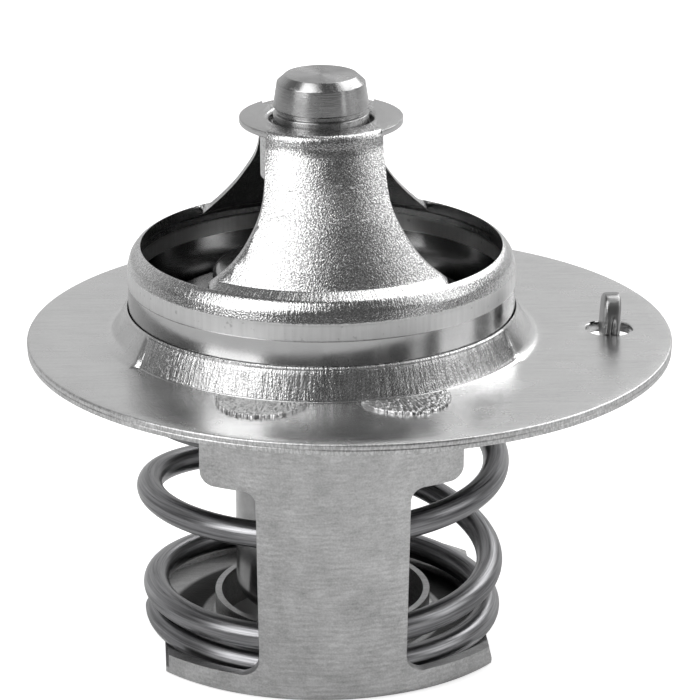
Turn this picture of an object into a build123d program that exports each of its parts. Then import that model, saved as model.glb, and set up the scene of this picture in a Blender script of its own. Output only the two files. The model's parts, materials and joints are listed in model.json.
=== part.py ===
"""Engine thermostat: a wax-driven poppet valve in a 44 mm flange, for an engine's coolant passage.

Lengths are in millimetres. The origin is the centre of the flange, on its underside, and +Z points
to the side of the bridge. The valve's own axis is parallel to Z and stands off the flange's centre
towards -X. The legs of both frames stand at the front (-Y) and at the back (+Y), and the jiggle
pin hangs in its hole on +X.
"""
import math
import os

from build123d import *

# Clearances
fit_gap = 0.03
seat_gap = 0.02
slot_gap = 0.06
cut_margin = 1.0

# Flange
flange_diameter = 44.0
flange_sheet = 0.75
flange_edge_radius = 0.15
valve_offset = 1.9
collar_height = 2.1
collar_lip_width = 0.12
collar_foot_width = 1.2
collar_foot_radius = 1.0
crimp_foot_width = 1.0
crimp_half_angle = 62.0
jiggle_hole_inset = 4.2
jiggle_hole_side = -0.5
jiggle_hole_diameter = 3.2

# Upper frame, a drawn sheet
frame_sheet = 0.6
ring_radius = 13.2
ring_height = 5.7
bead_rise = 1.55
window_inset = 0.92
step_height = 4.55
step_depth = 0.05
seat_lip_width = 0.75
seat_lip_drop = 0.05
bridge_rise = 6.45
leg_foot_half_width = 7.9
leg_foot_drop = 0.33
leg_neck_half_width = 3.72
neck_radius = 4.1
neck_rise = 2.35
brim_width = 1.44
tongue_length = 2.05
tongue_half_angle = 30.0

# The bridge's bends, as a share of the way from neck to ring and a height below the neck's foot,
# and the leg's front edge, as shares of the way out and down from the neck to the bead
high_knee_share = 0.313
high_knee_drop = 1.2
low_knee_share = 0.55
low_knee_drop = 2.55
bead_shoulder_width = 2.45
bead_shoulder_rise = 1.0
bead_crest_width = 1.55
bead_edge_width = 0.35
bead_edge_drop = 0.65
ring_top_drop = 0.2
frame_bends = [0.7, 1.3, 0.8, 1.6, 1.6, 0.7, 0.9, 0.6, 0.35]
leg_edge_shares = [(0, 0), (0.132, 0.288), (0.359, 0.583), (0.629, 0.804), (1, 1)]

# Plug and piston
plug_rise = 2.85
plug_top_radius = 2.6
plug_chamfer = 0.4
plug_head_radius = 3.14
plug_groove_rise = 0.7
plug_groove_width = 0.3
plug_groove_depth = 0.3
plug_shoulder_drop = 0.1
plug_tail = 1.1
plug_cap = 2.9
piston_radius = 1.9
piston_tip_radius = 1.2
piston_tip_length = 3.0
piston_clearance = 7.05

# Wax element and valve disc, closed
case_radius = 6.0
case_wall = 0.6
case_length = 21.57
case_foot_radius = 1.4
crimp_radius = 7.4
crimp_height = 2.5
crimp_lip_width = 1.6
crimp_lip_thickness = 0.45
crimp_corner_radius = 0.5
boot_radius = 3.1
boot_flange = 0.6
boot_end = 1.1
disc_hub_top = 3.0
disc_hub_radius = 8.2
disc_sheet = 0.7
disc_crown_gap = 0.9
disc_crown_drop = 0.45
disc_rim_overhang = 0.1
disc_bends = [3.0, 1.1, 0.45]
seal_thickness = 0.6
seal_width = 1.0
guide_rise = 2.68
guide_nose_radius = 3.3
guide_nose_height = 1.2
guide_flare = 0.4
guide_shoulder_radius = 5.3
guide_shoulder_height = 0.8
guide_seal_radius = 2.7
guide_seal_height = 1.0
guide_seal_recess = 0.1
guide_seal_lip = 0.3
ring_section = 0.9

# Lower frame, a pressed sheet
stirrup_sheet = 0.8
base_height = -20.95
base_edge_radius = 0.8
rim_height = 1.7
base_half_length = 11.1
rim_half_length = 10.9
leg_standoff = 1.0
leg_lean = 0.4
leg_top_half_width = 5.1
leg_base_half_width = 4.9
leg_base_fillet = 1.3
ear_half_width = 8.7
ear_depth = 5.6
ear_corner_radius = 0.9
ear_fillet = 0.9
tab_angle = 18.7
tab_half_angle = 8.8
tab_root = 0.1
stake_half_angle = 11.7
stake_width = 2.8
stake_thickness = 0.3
guide_collar_radius = 7.5
guide_collar_wall = 0.45
guide_collar_height = 2.78
guide_collar_bend = 0.5

# Spring: the share of its height that the wire has climbed, at each quarter turn
wire_diameter = 1.8
coil_inset = 0.1
coil_taper = 0.8
coil_gap = 0.25
coil_rise = [0, 0, 0, 0.036, 0.112, 0.136, 0.213, 0.389, 0.552, 0.598, 0.663, 0.824, 0.945, 0.994, 1, 1]
first_angle = -180
turn_step = 30

# Jiggle pin
pin_thickness = 1.25
pin_head_height = 2.5
pin_top_half_width = 1.85
pin_neck_drop = 1.35
pin_corner_radius = 0.35
pin_rim_radius = 0.5
pin_stem_radius = 0.55
pin_lift = 1.5
weight_radius = 2.3
weight_height = 1.6
weight_edge_radius = 0.45

# Places that follow from the sizes
valve_axis = Axis((-valve_offset, 0, 0), (0, 0, 1))
section = Plane(origin=(-valve_offset, 0, 0), x_dir=(1, 0, 0), z_dir=(0, -1, 0))
jiggle_x = flange_diameter / 2 - jiggle_hole_inset
bore_radius = ring_radius - frame_sheet
window_radius = ring_radius - window_inset
neck_bore = neck_radius - frame_sheet
bead_height = ring_height + bead_rise
neck_foot_height = bead_height + bridge_rise
brim_top = neck_foot_height + neck_rise
tongue_foot_height = neck_foot_height - tongue_length
plug_top = brim_top + plug_rise
plug_groove_height = brim_top + plug_groove_rise
plug_foot = neck_foot_height - plug_tail
plug_bore_top = plug_top - plug_cap
shoulder = disc_hub_top + seat_gap
case_foot = shoulder - case_length
piston_foot = case_foot + piston_clearance
boot_foot = piston_foot - boot_end
disc_crown_radius = bore_radius - disc_crown_gap
disc_rim_radius = ring_radius + disc_rim_overhang
seat_height = -frame_sheet - seat_lip_drop
seal_top = seat_height - seat_gap
rim_top = seal_top - seal_thickness
spring_top = rim_top - disc_sheet
floor_top = base_height + stirrup_sheet
slot_inner = ring_radius + leg_standoff
leg_top_radius = slot_inner + stirrup_sheet
coil_radius_top = disc_rim_radius - coil_inset
coil_radius_foot = coil_radius_top - coil_taper
rim_arc_radius = leg_top_radius - leg_lean
rim_depth = coil_radius_foot + coil_gap + stirrup_sheet


def valve_plane(height):
    """Horizontal sketch plane on the valve's axis."""
    return Plane(origin=(-valve_offset, 0, height))


def polar(radius, angle):
    """Point at a radius and an angle in degrees, in a horizontal sketch."""
    return (radius * math.cos(math.radians(angle)), radius * math.sin(math.radians(angle)))


def ring_sector(inner, outer, middle, half):
    """Flat face of a stretch of a ring, between two radii and about a middle angle."""
    with BuildSketch() as sector:
        with BuildLine():
            CenterArc((0, 0), outer, middle - half, 2 * half)
            Line(polar(outer, middle + half), polar(inner, middle + half))
            CenterArc((0, 0), inner, middle - half, 2 * half)
            Line(polar(inner, middle - half), polar(outer, middle - half))
        make_face()
    return sector.sketch


def stake(middle):
    """Flat face of a tab's end, hammered outwards over the flange: a half moon outside the slot."""
    inner = ring_radius + crimp_foot_width + fit_gap
    with BuildSketch() as moon:
        with BuildLine():
            CenterArc((0, 0), inner, middle - stake_half_angle, 2 * stake_half_angle)
            ThreePointArc(polar(inner, middle - stake_half_angle), polar(inner + stake_width, middle),
                          polar(inner, middle + stake_half_angle))
        make_face()
    return moon.sketch


def turned(points):
    """Solid of revolution about the valve's axis from (radius, height) corners."""
    with BuildPart() as piece:
        with BuildSketch(section):
            with BuildLine():
                Polyline(*points, close=True)
            make_face()
        revolve(axis=valve_axis)
    return piece


# Flange: plate, drawn collar with a soft foot, crimped to a steep cone over the legs
collar_bore = ring_radius + fit_gap
collar_top = flange_sheet + collar_height
slot_half_angle = tab_half_angle + math.degrees(slot_gap / slot_inner)
tab_angles = [side + turn for side in (-90, 90) for turn in (-tab_angle, tab_angle)]
foot = (ring_radius + collar_foot_width, flange_sheet)
lip = (ring_radius + collar_lip_width, collar_top)
soft_end = foot[0] + collar_foot_radius
crimp_foot = (ring_radius + crimp_foot_width, flange_sheet)
with BuildPart() as flange:
    with BuildSketch():
        Circle(flange_diameter / 2)
        with Locations((-valve_offset, 0)):
            Circle(collar_bore, mode=Mode.SUBTRACT)
    extrude(amount=flange_sheet)
    plate_edges = flange.edges().filter_by(GeomType.CIRCLE).group_by(Axis.Z)[-1]
    fillet(plate_edges.sort_by(SortBy.RADIUS)[-1], flange_edge_radius)
    with BuildSketch(section):
        with BuildLine():
            FilletPolyline(lip, foot, (soft_end, flange_sheet), (soft_end, 0), (collar_bore, 0),
                           (collar_bore, collar_top),
                           radius=[0, collar_foot_radius, 0, 0, 0, 0], close=True)
        make_face()
    revolve(axis=valve_axis)
    for side in (-90, 90):
        start = side - crimp_half_angle
        with BuildSketch(Plane(origin=(-valve_offset, 0, 0), x_dir=(*polar(1, start), 0),
                               z_dir=(*polar(1, start - 90), 0))):
            with BuildLine():
                Polyline(lip, crimp_foot, (soft_end + cut_margin, flange_sheet),
                         (soft_end + cut_margin, collar_top + cut_margin),
                         (lip[0], collar_top + cut_margin), close=True)
            make_face()
        revolve(axis=valve_axis, revolution_arc=2 * crimp_half_angle, mode=Mode.SUBTRACT)
    with Locations((jiggle_x, jiggle_hole_side, flange_sheet)):
        Hole(jiggle_hole_diameter / 2)
    with BuildSketch(valve_plane(-cut_margin)):
        for angle in tab_angles:
            add(ring_sector(slot_inner - slot_gap, leg_top_radius + slot_gap, angle, slot_half_angle))
    extrude(amount=flange_sheet + cut_margin, mode=Mode.SUBTRACT)
flange.part.label = "flange"


# Windows between the legs: the legs' front outline, kept off the neck and inside the ring's edge
window_top = brim_top - 2 * frame_sheet
leg_flare = leg_foot_half_width - leg_neck_half_width
leg_length = bridge_rise + leg_foot_drop
leg_edge = [(leg_neck_half_width + leg_flare * out, neck_foot_height - leg_length * down)
            for out, down in leg_edge_shares]
with BuildPart() as windows:
    with BuildSketch(section):
        with BuildLine():
            Spline(*leg_edge)
            Polyline(leg_edge[-1], (leg_foot_half_width, ring_height), (ring_radius, ring_height),
                     (ring_radius, window_top), (leg_neck_half_width, window_top), leg_edge[0])
        make_face()
        mirror(about=Plane.YZ)
    extrude(amount=ring_radius, both=True)
    with BuildSketch(valve_plane(0)):
        Circle(window_radius)
        Circle(neck_radius, mode=Mode.SUBTRACT)
    extrude(amount=brim_top, mode=Mode.INTERSECT)

# Upper frame: brim, neck, two legs, shoulder bead, ring and seat lip in one sheet
half_sheet = frame_sheet / 2
ring_middle = ring_radius - half_sheet
neck_middle = neck_radius - half_sheet
bridge_span = ring_middle - neck_middle
profile = [(neck_radius + brim_width, brim_top - half_sheet),
           (neck_middle, brim_top - half_sheet),
           (neck_middle, neck_foot_height),
           (neck_middle + high_knee_share * bridge_span, neck_foot_height - high_knee_drop),
           (neck_middle + low_knee_share * bridge_span, neck_foot_height - low_knee_drop),
           (ring_middle - bead_shoulder_width, bead_height + bead_shoulder_rise),
           (ring_middle - bead_crest_width, bead_height),
           (ring_middle - bead_edge_width, bead_height - bead_edge_drop),
           (ring_middle, ring_height - ring_top_drop),
           (ring_middle, seat_height + half_sheet),
           (ring_radius + seat_lip_width, seat_height + half_sheet)]
with BuildPart() as upper_frame:
    with BuildSketch(section):
        with BuildLine():
            FilletPolyline(*profile, radius=frame_bends)
        trace(line_width=frame_sheet)
    revolve(axis=valve_axis)
    add(windows.part, mode=Mode.SUBTRACT)
    with BuildSketch(valve_plane(tongue_foot_height)):
        for side in (0, 180):
            add(ring_sector(neck_bore, neck_radius, side, tongue_half_angle))
    extrude(amount=neck_foot_height + frame_sheet - tongue_foot_height)
    with BuildSketch(section):
        with Locations((ring_radius, step_height)):
            Rectangle(2 * step_depth, 2 * step_depth, rotation=45)
    revolve(axis=valve_axis, mode=Mode.SUBTRACT)
upper_frame.part.label = "upper_frame"

# Plug: turned, with a tapered head over a groove and a blind bore for the piston
plug_radius = neck_bore - fit_gap
with BuildPart() as piston_plug:
    with BuildSketch(section):
        with BuildLine():
            Polyline((0, plug_bore_top), (0, plug_top), (plug_top_radius, plug_top),
                     (plug_top_radius + plug_chamfer, plug_top - plug_chamfer),
                     (plug_head_radius, plug_groove_height),
                     (plug_head_radius - plug_groove_depth, plug_groove_height),
                     (plug_head_radius - plug_groove_depth, plug_groove_height - plug_groove_width),
                     (plug_radius, plug_groove_height - plug_groove_width - plug_shoulder_drop),
                     (plug_radius, plug_foot),
                     (piston_radius + fit_gap, plug_foot),
                     (piston_radius + fit_gap, plug_bore_top), close=True)
        make_face()
    revolve(axis=valve_axis)
piston_plug.part.label = "piston_plug"

# Piston: ground rod with a tapered tip
piston = turned([(0, piston_foot), (piston_tip_radius, piston_foot),
                 (piston_radius, piston_foot + piston_tip_length), (piston_radius, plug_bore_top),
                 (0, plug_bore_top)])
piston.part.label = "piston"

# Wax element: cup whose mouth is widened over the disc's hub and crimped on the guide
mouth_top = shoulder + crimp_height
mouth_floor = shoulder + case_wall
lip_foot = mouth_top - crimp_lip_thickness
inner = case_radius - case_wall
with BuildPart() as element_case:
    with BuildSketch(section):
        with BuildLine():
            Polyline((0, case_foot), (case_radius, case_foot), (case_radius, shoulder),
                     (crimp_radius, shoulder), (crimp_radius, mouth_top),
                     (crimp_radius - crimp_lip_width, mouth_top),
                     (crimp_radius - crimp_lip_width, lip_foot),
                     (crimp_radius - case_wall, lip_foot),
                     (crimp_radius - case_wall, mouth_floor), (inner, mouth_floor),
                     (inner, case_foot + case_wall), (0, case_foot + case_wall), close=True)
        make_face()
    revolve(axis=valve_axis)
    foot_edge = element_case.edges().filter_by(GeomType.CIRCLE).group_by(Axis.Z)[0]
    fillet(foot_edge, case_foot_radius)
    mouth_edges = element_case.edges().filter_by(GeomType.CIRCLE).group_by(Axis.Z)[-1]
    fillet(mouth_edges.sort_by(SortBy.RADIUS)[-1], crimp_corner_radius)
element_case.part.label = "element_case"

# Boot: rubber sleeve round the piston, with a flange under the guide
boot_top = mouth_floor + boot_flange
mouth_bore = crimp_radius - case_wall - fit_gap
with BuildPart() as rubber_boot:
    with BuildSketch(section):
        with BuildLine():
            Polyline((0, boot_foot), (boot_radius, boot_foot), (boot_radius, mouth_floor),
                     (mouth_bore, mouth_floor), (mouth_bore, boot_top),
                     (piston_radius + fit_gap, boot_top),
                     (piston_radius + fit_gap, piston_foot + piston_tip_length),
                     (piston_tip_radius + fit_gap, piston_foot - fit_gap),
                     (0, piston_foot - fit_gap), close=True)
        make_face()
    revolve(axis=valve_axis)
rubber_boot.part.label = "rubber_boot"

# Wax: fills the case round the boot
wax_radius = inner - fit_gap
wax_charge = turned([(0, case_foot + case_wall + fit_gap), (wax_radius, case_foot + case_wall + fit_gap),
                     (wax_radius, mouth_floor - fit_gap), (boot_radius + fit_gap, mouth_floor - fit_gap),
                     (boot_radius + fit_gap, boot_foot - fit_gap), (0, boot_foot - fit_gap)])
wax_charge.part.label = "wax_charge"

# Guide: turned nose and shoulder over a flange that the case's mouth holds
guide_flange_top = lip_foot - fit_gap
guide_top = mouth_top + guide_rise
flare_foot = guide_top - guide_nose_height - guide_flare / 2
with BuildPart() as element_guide:
    with BuildSketch(section):
        with BuildLine():
            Polyline((piston_radius + fit_gap, boot_top + fit_gap),
                     (mouth_bore, boot_top + fit_gap), (mouth_bore, guide_flange_top),
                     (guide_shoulder_radius, guide_flange_top),
                     (guide_shoulder_radius, guide_flange_top + guide_shoulder_height),
                     (guide_nose_radius + guide_flare, flare_foot),
                     (guide_nose_radius, guide_top - guide_nose_height),
                     (guide_nose_radius, guide_top),
                     (guide_seal_radius, guide_top),
                     (guide_seal_radius, guide_top - guide_seal_height),
                     (piston_radius + fit_gap, guide_top - guide_seal_height), close=True)
        make_face()
    revolve(axis=valve_axis)
element_guide.part.label = "element_guide"

# Seal round the piston, in the guide's nose
guide_seal_top = guide_top - guide_seal_recess
guide_seal_floor = guide_top - guide_seal_height + fit_gap
guide_seal = turned([(piston_radius + fit_gap, guide_seal_floor),
                     (guide_seal_radius - fit_gap, guide_seal_floor),
                     (guide_seal_radius - fit_gap, guide_seal_top),
                     (piston_radius + guide_seal_lip, guide_seal_top),
                     (piston_radius + fit_gap, guide_seal_top - guide_seal_lip)])
guide_seal.part.label = "guide_seal"

# Valve disc: hub, domed crown and rim in one sheet
half_disc = disc_sheet / 2
crown_middle = disc_crown_radius - half_disc
rim_middle = rim_top - half_disc
with BuildPart() as valve_disc:
    with BuildSketch(section):
        with BuildLine():
            FilletPolyline((case_radius + fit_gap, disc_hub_top - half_disc),
                           (disc_hub_radius, disc_hub_top - half_disc),
                           (crown_middle, disc_hub_top - disc_crown_drop - half_disc),
                           (crown_middle, rim_middle),
                           (disc_rim_radius, rim_middle), radius=disc_bends)
        trace(line_width=disc_sheet)
    revolve(axis=valve_axis)
valve_disc.part.label = "valve_disc"

# Seal: rubber ring on the rim, under the seat lip
seal_inner_radius = disc_rim_radius - seal_width
valve_seal = turned([(seal_inner_radius, rim_top), (disc_rim_radius, rim_top),
                     (disc_rim_radius, seal_top), (seal_inner_radius, seal_top)])
valve_seal.part.label = "valve_seal"

# Ring under the hub, which holds the disc on the case
hub_foot = disc_hub_top - disc_sheet
disc_ring = turned([(case_radius + fit_gap, hub_foot - ring_section),
                    (case_radius + ring_section, hub_foot - ring_section),
                    (case_radius + ring_section, hub_foot), (case_radius + fit_gap, hub_foot)])
disc_ring.part.label = "disc_ring"

# Leg of the lower frame: a band that leans from the rim to the flange, cut to its front outline
arc_shift = rim_arc_radius - rim_depth
rim_inner = rim_arc_radius - stirrup_sheet
leg_foot = base_height + rim_height - stirrup_sheet
rim_edge = base_height + rim_height
leg_root_half_width = leg_base_half_width + leg_base_fillet + slot_gap
outline = [(ear_half_width, flange_sheet, 0),
           (ear_half_width, -ear_depth, ear_corner_radius),
           (leg_top_half_width, -ear_depth, ear_fillet),
           (leg_base_half_width, rim_edge, leg_base_fillet),
           (leg_root_half_width, rim_edge, 0),
           (leg_root_half_width, base_height, 0)]
outline += [(-x, z, radius) for x, z, radius in reversed(outline)]
with BuildPart() as leg:
    for height, radius, shift in ((leg_foot, rim_arc_radius, arc_shift), (0, leg_top_radius, 0)):
        with BuildSketch(valve_plane(height)):
            with Locations((0, shift)):
                Circle(radius)
                Circle(radius - stirrup_sheet, mode=Mode.SUBTRACT)
            with Locations((0, -leg_top_radius)):
                Rectangle(2 * (ear_half_width + cut_margin), 2 * leg_top_radius, mode=Mode.INTERSECT)
    loft()
    with BuildSketch(section):
        with BuildLine():
            FilletPolyline(*[(x, z) for x, z, radius in outline],
                           radius=[radius for x, z, radius in outline], close=True)
        make_face()
    extrude(amount=2 * leg_top_radius, mode=Mode.INTERSECT)
    with BuildSketch(valve_plane(-tab_root)):
        for turn in (-tab_angle, tab_angle):
            add(ring_sector(slot_inner, leg_top_radius, turn - 90, tab_half_angle))
    extrude(amount=flange_sheet + tab_root)
    with BuildSketch(valve_plane(flange_sheet)):
        for turn in (-tab_angle, tab_angle):
            add(stake(turn - 90))
    extrude(amount=stake_thickness)

# Lower frame: a pan with two curved rims and a guide collar, and two legs staked through the flange
with BuildPart() as lower_frame:
    with BuildSketch(valve_plane(base_height)):
        with Locations((0, arc_shift)):
            Circle(rim_arc_radius)
        with Locations((0, -arc_shift)):
            Circle(rim_arc_radius, mode=Mode.INTERSECT)
        Rectangle(2 * base_half_length, 2 * rim_arc_radius, mode=Mode.INTERSECT)
    extrude(amount=rim_height)
    base_arcs = lower_frame.faces().sort_by(Axis.Z)[0].edges().filter_by(GeomType.CIRCLE)
    fillet(base_arcs, base_edge_radius)
    with BuildSketch(valve_plane(floor_top)):
        with Locations((0, arc_shift)):
            Circle(rim_inner)
        with Locations((0, -arc_shift)):
            Circle(rim_inner, mode=Mode.INTERSECT)
    extrude(amount=rim_height, mode=Mode.SUBTRACT)
    with BuildSketch(valve_plane(floor_top)):
        for end in (-1, 1):
            with Locations((end * (rim_half_length + base_half_length / 2), 0)):
                Rectangle(base_half_length, 2 * rim_arc_radius)
    extrude(amount=rim_height, mode=Mode.SUBTRACT)
    guide_bore = guide_collar_radius - guide_collar_wall
    collar_foot = guide_collar_radius + guide_collar_bend
    bend_top = floor_top + guide_collar_bend
    with BuildSketch(section):
        with BuildLine():
            Polyline((guide_bore, base_height), (guide_bore, base_height + guide_collar_height),
                     (guide_collar_radius, base_height + guide_collar_height),
                     (guide_collar_radius, bend_top))
            RadiusArc((guide_collar_radius, bend_top), (collar_foot, floor_top), guide_collar_bend)
            Polyline((collar_foot, floor_top), (collar_foot, base_height), (guide_bore, base_height))
        make_face()
    revolve(axis=valve_axis)
    with Locations((-valve_offset, 0, floor_top)):
        Hole(guide_bore)
    add(leg.part)
    mirror(leg.part, about=Plane.XZ)
lower_frame.part.label = "lower_frame"

# Spring: round wire with a closed turn at each end, wound so that it climbs anticlockwise
wire_foot = floor_top + wire_diameter / 2 + seat_gap
wire_top = spring_top - wire_diameter / 2 - seat_gap


def coil_share(angle):
    """Share of the spring's height at an angle, smoothly between the quarter-turn values."""
    place = (angle - first_angle) / 90
    quarter = min(int(place), len(coil_rise) - 2)
    part = place - quarter
    before, start, end, after = (coil_rise[min(max(quarter + k, 0), len(coil_rise) - 1)]
                                 for k in (-1, 0, 1, 2))
    slope_start = (end - before) / 2
    slope_end = (after - start) / 2
    share = (start + slope_start * part + (3 * (end - start) - 2 * slope_start - slope_end) * part ** 2
             + (2 * (start - end) + slope_start + slope_end) * part ** 3)
    return min(max(share, 0), 1)


def coil_point(angle):
    """Point on the wire's centre line, in the part's frame."""
    share = coil_share(angle)
    radius = coil_radius_foot + (coil_radius_top - coil_radius_foot) * share - wire_diameter / 2
    x, y = polar(radius, angle)
    return (x - valve_offset, y, wire_foot + (wire_top - wire_foot) * share)


last_angle = first_angle + 90 * (len(coil_rise) - 1)
with BuildPart() as main_spring:
    with BuildLine() as wire_path:
        Spline(*[coil_point(angle) for angle in range(first_angle, last_angle + 1, turn_step)])
    with BuildSketch(Plane(origin=wire_path.line @ 0, z_dir=wire_path.line % 0)):
        Circle(wire_diameter / 2)
    sweep(path=wire_path.line)
main_spring.part.label = "main_spring"

# Jiggle pin: flattened head whose corners rest in the hole's rim, stem, and a weight below the flange
pin_axis = Axis((jiggle_x, jiggle_hole_side, 0), (0, 0, 1))
pin_rim_half_width = math.sqrt((jiggle_hole_diameter / 2 - seat_gap) ** 2 - (pin_thickness / 2) ** 2)
pin_top = flange_sheet + pin_head_height
pin_neck = flange_sheet - pin_neck_drop
weight_top = -pin_lift - seat_gap
weight_foot = weight_top - weight_height
with BuildPart() as jiggle_pin:
    with BuildSketch(Plane(origin=pin_axis.position, x_dir=(0, 1, 0), z_dir=(1, 0, 0))):
        with BuildLine():
            FilletPolyline((-pin_stem_radius, pin_neck), (pin_stem_radius, pin_neck),
                           (pin_rim_half_width, flange_sheet), (pin_top_half_width, pin_top),
                           (-pin_top_half_width, pin_top), (-pin_rim_half_width, flange_sheet),
                           radius=[0, 0, pin_rim_radius, pin_corner_radius, pin_corner_radius,
                                   pin_rim_radius], close=True)
        make_face()
    extrude(amount=pin_thickness / 2, both=True)
    with BuildSketch(Plane(origin=pin_axis.position, x_dir=(1, 0, 0), z_dir=(0, -1, 0))):
        with BuildLine():
            Polyline((0, 0), (pin_stem_radius, 0), (pin_stem_radius, weight_top),
                     (weight_radius, weight_top), (weight_radius, weight_foot), (0, weight_foot),
                     close=True)
        make_face()
    revolve(axis=pin_axis)
    weight_edges = jiggle_pin.edges().filter_by(GeomType.CIRCLE).sort_by(SortBy.RADIUS)[-2:]
    fillet(weight_edges, weight_edge_radius)
jiggle_pin.part.label = "jiggle_pin"

os.makedirs("parts", exist_ok=True)
pieces = (flange, upper_frame, piston_plug, piston, element_case, rubber_boot, wax_charge,
          element_guide, guide_seal, valve_disc, valve_seal, disc_ring, lower_frame, main_spring,
          jiggle_pin)
for piece in pieces:
    export_step(piece.part, f"parts/{piece.part.label}.step")
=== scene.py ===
# %% [markdown]
# # An engine thermostat in bright steel
# The object is a valve for an engine's coolant: a flange, a bridge above it, a stirrup and a spring
# below it, and a wax element that pushes the valve disc open. The CAD model gives every piece its
# place. This lesson dresses it: it models again the pieces whose sheared, rolled and hammered
# surfaces the eye sees, and gives each metal the finish that its tool left on it.

# %% Load the frame
import json
import math

import bpy
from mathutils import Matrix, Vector, noise

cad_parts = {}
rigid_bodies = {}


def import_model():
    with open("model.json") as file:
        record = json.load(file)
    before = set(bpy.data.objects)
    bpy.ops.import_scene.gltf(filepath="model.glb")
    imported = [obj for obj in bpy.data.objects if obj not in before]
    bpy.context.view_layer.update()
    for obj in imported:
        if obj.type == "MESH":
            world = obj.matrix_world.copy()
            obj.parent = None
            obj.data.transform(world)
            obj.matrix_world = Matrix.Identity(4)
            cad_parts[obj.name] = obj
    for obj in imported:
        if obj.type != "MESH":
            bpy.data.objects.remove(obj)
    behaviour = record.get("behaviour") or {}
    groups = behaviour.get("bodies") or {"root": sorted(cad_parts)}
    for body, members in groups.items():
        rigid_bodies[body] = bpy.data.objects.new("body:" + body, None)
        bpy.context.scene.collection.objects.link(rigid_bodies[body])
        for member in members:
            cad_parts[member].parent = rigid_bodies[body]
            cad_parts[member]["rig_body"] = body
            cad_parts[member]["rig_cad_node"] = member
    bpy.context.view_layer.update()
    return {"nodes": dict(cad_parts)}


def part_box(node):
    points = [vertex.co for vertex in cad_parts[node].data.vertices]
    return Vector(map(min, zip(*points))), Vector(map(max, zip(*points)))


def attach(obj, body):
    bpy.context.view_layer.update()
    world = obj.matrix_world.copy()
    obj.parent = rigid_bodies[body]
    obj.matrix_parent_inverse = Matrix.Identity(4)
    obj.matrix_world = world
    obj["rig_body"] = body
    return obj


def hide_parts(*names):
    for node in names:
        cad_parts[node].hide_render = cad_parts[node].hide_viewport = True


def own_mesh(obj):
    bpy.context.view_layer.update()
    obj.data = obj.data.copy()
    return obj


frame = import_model()

# %% [markdown]
# ## Sizes
# Blender works in metres, and a thermostat is drawn in millimetres, so every length below is
# written in millimetres and multiplied by MM once. The places of the big pieces are read from the
# CAD nodes' boxes. Only what a box can't tell, such as a sheet's thickness, is given as a number.

# %% Driving sizes
MM = 0.001
flange_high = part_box("flange")[1]
bridge_low, bridge_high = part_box("upper_frame")
stirrup_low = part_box("lower_frame")[0]
plug_low, plug_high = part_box("piston_plug")
pin_low, pin_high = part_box("jiggle_pin")

rim_radius = flange_high.x / MM
collar_top = flange_high.z / MM
valve_x = (bridge_low.x + bridge_high.x) / 2 / MM
brim_top = bridge_high.z / MM
base_height = stirrup_low.z / MM
plug_top = plug_high.z / MM
pin_x = (pin_low.x + pin_high.x) / 2 / MM
pin_y = (pin_low.y + pin_high.y) / 2 / MM

flange_sheet = 0.75
frame_sheet = 0.6
neck_radius = 4.1
ring_radius = (bridge_high.x - bridge_low.x) / 2 / MM - 0.75
print(f"valve axis at x {valve_x:.2f}, ring {ring_radius:.2f}, rim {rim_radius:.2f} mm")

# %% [markdown]
# ## Helpers for modelling
# An operator acts on all that is selected, so every step starts from a clean selection, and the
# vertices, edges or faces that it needs are then chosen in code, by their place.

# %% Choosing and editing
def nothing_selected():
    """Leaves edit mode and clears the selection."""
    if bpy.context.mode != "OBJECT":
        bpy.ops.object.mode_set(mode="OBJECT")
    bpy.ops.object.select_all(action="DESELECT")


def only(piece):
    """Selects one object and makes it the active one."""
    nothing_selected()
    piece.select_set(True)
    bpy.context.view_layer.objects.active = piece
    return piece


def named(name):
    """Names the active object and its mesh."""
    piece = bpy.context.active_object
    piece.name = name
    piece.data.name = name
    return piece


def edit(piece, operator, **settings):
    """Runs one edit-mode operator on what is selected in the piece's mesh."""
    only(piece)
    bpy.ops.object.mode_set(mode="EDIT")
    operator(**settings)
    bpy.ops.object.mode_set(mode="OBJECT")


def choose(piece, kind, test):
    """Selects the mesh's vertices, edges or polygons whose middle passes a test, in millimetres."""
    mesh = piece.data
    for group in (mesh.vertices, mesh.edges, mesh.polygons):
        group.foreach_set("select", [False] * len(group))
    for item in getattr(mesh, kind):
        if kind == "vertices":
            middle = item.co
        else:
            middle = sum((mesh.vertices[i].co for i in item.vertices), Vector()) / len(item.vertices)
        item.select = test(middle / MM)
    bpy.context.tool_settings.mesh_select_mode = [kind == k for k in ("vertices", "edges", "polygons")]


# %% [markdown]
# ### Rolled sheets
# The main trick of this lesson is a flat grid that stands for a sheet of metal. A formula rolls it
# into any pressed shape, with even, four-sided faces that take a highlight without dents. Its seam
# is then merged and its faces are turned outwards. Smooth shading leaves the sheared edges crisp.

# %% Rolled sheets
def rolled(name, columns, rows, place):
    """A flat grid whose point (u, v), each from 0 to 1, goes to place(u, v) in millimetres."""
    nothing_selected()
    bpy.ops.mesh.primitive_grid_add(x_subdivisions=columns, y_subdivisions=rows, size=1)
    piece = named(name)
    for vertex in piece.data.vertices:
        u, v = vertex.co.x + 0.5, vertex.co.y + 0.5
        vertex.co = Vector(place(u, v)) * MM
    return piece


def closed(piece, gap=0.002):
    """Merges the seam and turns the faces outwards."""
    choose(piece, "vertices", lambda middle: True)
    edit(piece, bpy.ops.mesh.remove_doubles, threshold=gap * MM)
    choose(piece, "polygons", lambda middle: True)
    edit(piece, bpy.ops.mesh.normals_make_consistent, inside=False)
    return piece


def finished(piece, angle=35):
    """Smooth shading, with edges sharper than the angle left crisp."""
    only(piece)
    bpy.ops.object.shade_smooth_by_angle(angle=math.radians(angle))
    return piece


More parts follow.
